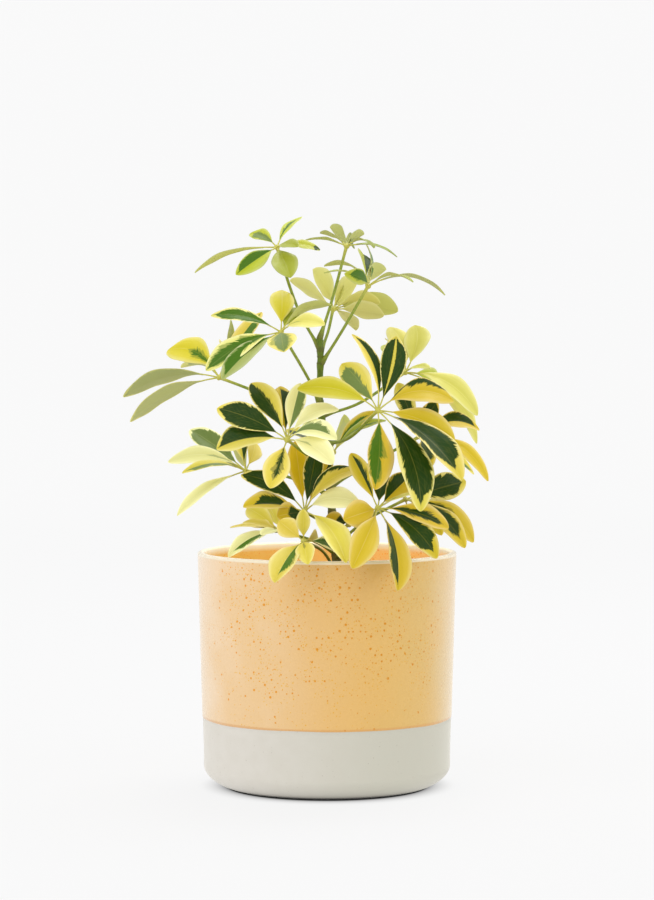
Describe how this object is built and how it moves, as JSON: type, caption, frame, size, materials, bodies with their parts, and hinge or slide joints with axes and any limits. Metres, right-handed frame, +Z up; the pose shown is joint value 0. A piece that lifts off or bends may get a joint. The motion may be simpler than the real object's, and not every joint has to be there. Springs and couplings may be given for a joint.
{
  "type": "potted umbrella plant",
  "caption": "Young variegated umbrella plant with palmate yellow-edged leaves on one stem, in a cylindrical pot glazed above a bare foot.",
  "frame": {"origin": "centre of the pot's flat underside", "axes": "+Z up the pot's axis and the plant's stem, -Y towards the side that the picture shows, +X to the right there"},
  "size_m": [0.233, 0.1954, 0.3622],
  "materials": {
    "pot_stoneware": "satin",
    "potting_soil": "matte",
    "green_stem": "satin",
    "young_leaf": "satin",
    "variegated_leaf": "satin"
  },
  "bodies": {
    "root": {"pot": "pot_stoneware", "soil": "potting_soil", "stem": "green_stem", "leaf_top_left": "young_leaf", "leaf_top": "young_leaf", "leaf_top_right": "young_leaf", "leaf_top_back": "young_leaf", "leaf_upper_left": "variegated_leaf", "leaf_far_left": "variegated_leaf", "leaf_front_left": "variegated_leaf", "leaf_front_right": "variegated_leaf", "leaf_right_back": "young_leaf", "leaf_middle_back": "variegated_leaf", "leaf_right": "variegated_leaf", "leaf_low_right": "variegated_leaf", "leaf_low_right_back": "variegated_leaf", "leaf_low_front": "variegated_leaf", "leaf_low_left": "variegated_leaf", "leaf_rim_front": "variegated_leaf", "leaf_left": "variegated_leaf", "leaf_young": "variegated_leaf"}
  },
  "joints": []
}
